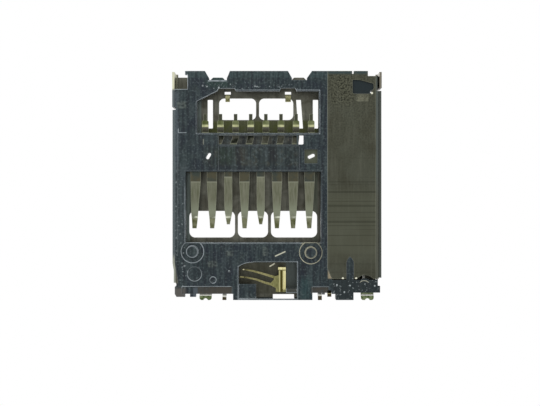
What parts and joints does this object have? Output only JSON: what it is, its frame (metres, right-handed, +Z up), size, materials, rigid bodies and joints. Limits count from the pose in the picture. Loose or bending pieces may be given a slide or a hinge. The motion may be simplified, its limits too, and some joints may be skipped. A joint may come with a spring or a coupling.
{
  "type": "memory card connector",
  "caption": "Flat push-push socket for a small memory card: moulded base, folded metal cover, sprung contacts, slider and card switch.",
  "frame": {"origin": "centre of the footprint on the board plane; the two locating pegs reach 0.42 mm below it", "axes": "+Y the way the card goes in, +Z up from the board, +X to the slider side"},
  "size_m": [0.0142, 0.0154, 0.0023],
  "materials": {
    "black_plastic": "moulded liquid-crystal polymer, satin black with a blue cast",
    "cover_steel": "rolled stainless sheet, nickel plated",
    "bay_steel": "rolled stainless sheet, nickel plated",
    "contact_plating": "plated copper alloy, pale grey green",
    "switch_bronze": "gold-flashed copper alloy",
    "foot_plating": "tinned copper alloy, warm grey",
    "leaf_bronze": "spring bronze, satin",
    "spring_wire": "drawn stainless wire",
    "pin_wire": "drawn stainless wire",
    "slider_plastic": "moulded polymer, satin black"
  },
  "bodies": {
    "socket": {"housing": "black_plastic", "shell": "cover_steel", "bay_plate": "bay_steel", "contact_1": "contact_plating", "contact_2": "contact_plating", "contact_3": "contact_plating", "contact_4": "contact_plating", "contact_5": "contact_plating", "contact_6": "contact_plating", "contact_7": "contact_plating", "contact_8": "contact_plating", "slider_spring": "spring_wire", "detect_lever": "switch_bronze", "detect_terminal": "switch_bronze", "ground_terminal": "switch_bronze", "hold_down_left": "foot_plating", "hold_down_right": "foot_plating"},
    "slider": {"slider": "slider_plastic", "lock_leaf": "leaf_bronze"},
    "cam_pin": {"cam_pin": "pin_wire"}
  },
  "joints": [
    {"name": "slider_slide", "type": "slide", "parent": "socket", "child": "slider", "axis": [0, 1, 0], "range_m": [0, 0.0036], "stiffness_N_per_m": 250, "springref_m": -0.002, "deforming": ["slider_spring"]},
    {"name": "cam_pin_swing", "type": "hinge", "parent": "socket", "child": "cam_pin", "pos_m": [0.00588, 0.00677, 0.0013], "axis": [0, 0, 1], "range_deg": [0, 4.1]}
  ]
}
